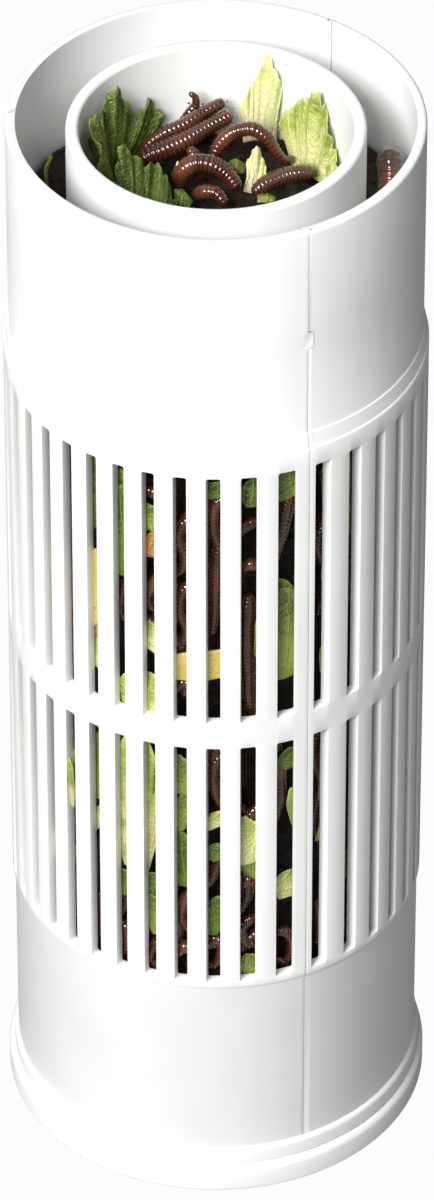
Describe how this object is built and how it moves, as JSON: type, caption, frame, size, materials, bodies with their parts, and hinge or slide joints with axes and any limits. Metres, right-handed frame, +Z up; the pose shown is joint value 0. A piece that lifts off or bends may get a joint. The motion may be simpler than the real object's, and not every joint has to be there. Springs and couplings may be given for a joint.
{
  "type": "wormery",
  "caption": "Slotted round tower wormery: three wall panels on a base tray, a lift-out feed sleeve, bedding, worms and kitchen scraps.",
  "frame": {"origin": "centre of the flat underside of the base tray", "axes": "+Z up along the tube's axis; -Y is the front seen in the picture; +X to its right"},
  "size_m": [0.159, 0.159, 0.4424],
  "materials": {
    "white_plastic": "fine satin moulded white plastic",
    "castings": "dark crumbly moist worm castings",
    "worm_skin": "moist ringed earthworm skin",
    "dark_leaf": "dark green cabbage leaf",
    "light_leaf": "light green lettuce leaf",
    "pale_leaf": "pale yellow endive leaf",
    "yellow_peel": "waxy yellow fruit peel",
    "carrot": "cut carrot"
  },
  "bodies": {
    "root": {"base_tray": "white_plastic", "bedding_ring": "castings", "worm_ring_1": "worm_skin", "worm_ring_2": "worm_skin", "leaf_ring_1": "dark_leaf", "worm_slot_1": "worm_skin", "worm_slot_2": "worm_skin", "worm_slot_3": "worm_skin", "worm_slot_4": "worm_skin", "worm_slot_5": "worm_skin", "worm_slot_6": "worm_skin", "worm_slot_7": "worm_skin", "worm_slot_8": "worm_skin", "worm_slot_9": "worm_skin", "worm_slot_10": "worm_skin", "worm_slot_11": "worm_skin", "worm_slot_12": "worm_skin", "worm_slot_13": "worm_skin", "worm_slot_14": "worm_skin", "worm_slot_15": "worm_skin", "worm_slot_16": "worm_skin", "worm_slot_17": "worm_skin", "worm_slot_18": "worm_skin", "worm_slot_19": "worm_skin", "worm_slot_20": "worm_skin", "leaf_slot_1": "dark_leaf", "leaf_slot_2": "dark_leaf", "leaf_slot_3": "light_leaf", "leaf_slot_4": "dark_leaf", "leaf_slot_5": "light_leaf", "leaf_slot_6": "light_leaf", "leaf_slot_7": "light_leaf", "leaf_slot_8": "dark_leaf", "leaf_slot_9": "light_leaf", "peel_slot_1": "yellow_peel", "peel_slot_2": "yellow_peel", "peel_slot_3": "yellow_peel", "carrot_stick": "carrot"},
    "housing": {"clamp_ring": "white_plastic", "wall_panel_1": "white_plastic", "wall_panel_2": "white_plastic", "wall_panel_3": "white_plastic"},
    "feed_sleeve": {"feed_sleeve": "white_plastic", "bedding_core": "castings", "worm_mouth_1": "worm_skin", "worm_mouth_2": "worm_skin", "worm_mouth_3": "worm_skin", "worm_mouth_4": "worm_skin", "worm_mouth_5": "worm_skin", "worm_mouth_6": "worm_skin", "worm_mouth_7": "worm_skin", "worm_mouth_8": "worm_skin", "worm_mouth_9": "worm_skin", "worm_mouth_10": "worm_skin", "leaf_mouth_1": "dark_leaf", "leaf_mouth_2": "dark_leaf", "leaf_mouth_3": "dark_leaf", "endive_leaf": "pale_leaf", "lettuce_leaf": "light_leaf", "endive_shard": "pale_leaf"}
  },
  "joints": [
    {"name": "housing_lift", "type": "slide", "parent": "root", "child": "housing", "axis": [0, 0, 1], "range_m": [0, 0.44]},
    {"name": "sleeve_lift", "type": "slide", "parent": "root", "child": "feed_sleeve", "axis": [0, 0, 1], "range_m": [0, 0.44]}
  ]
}
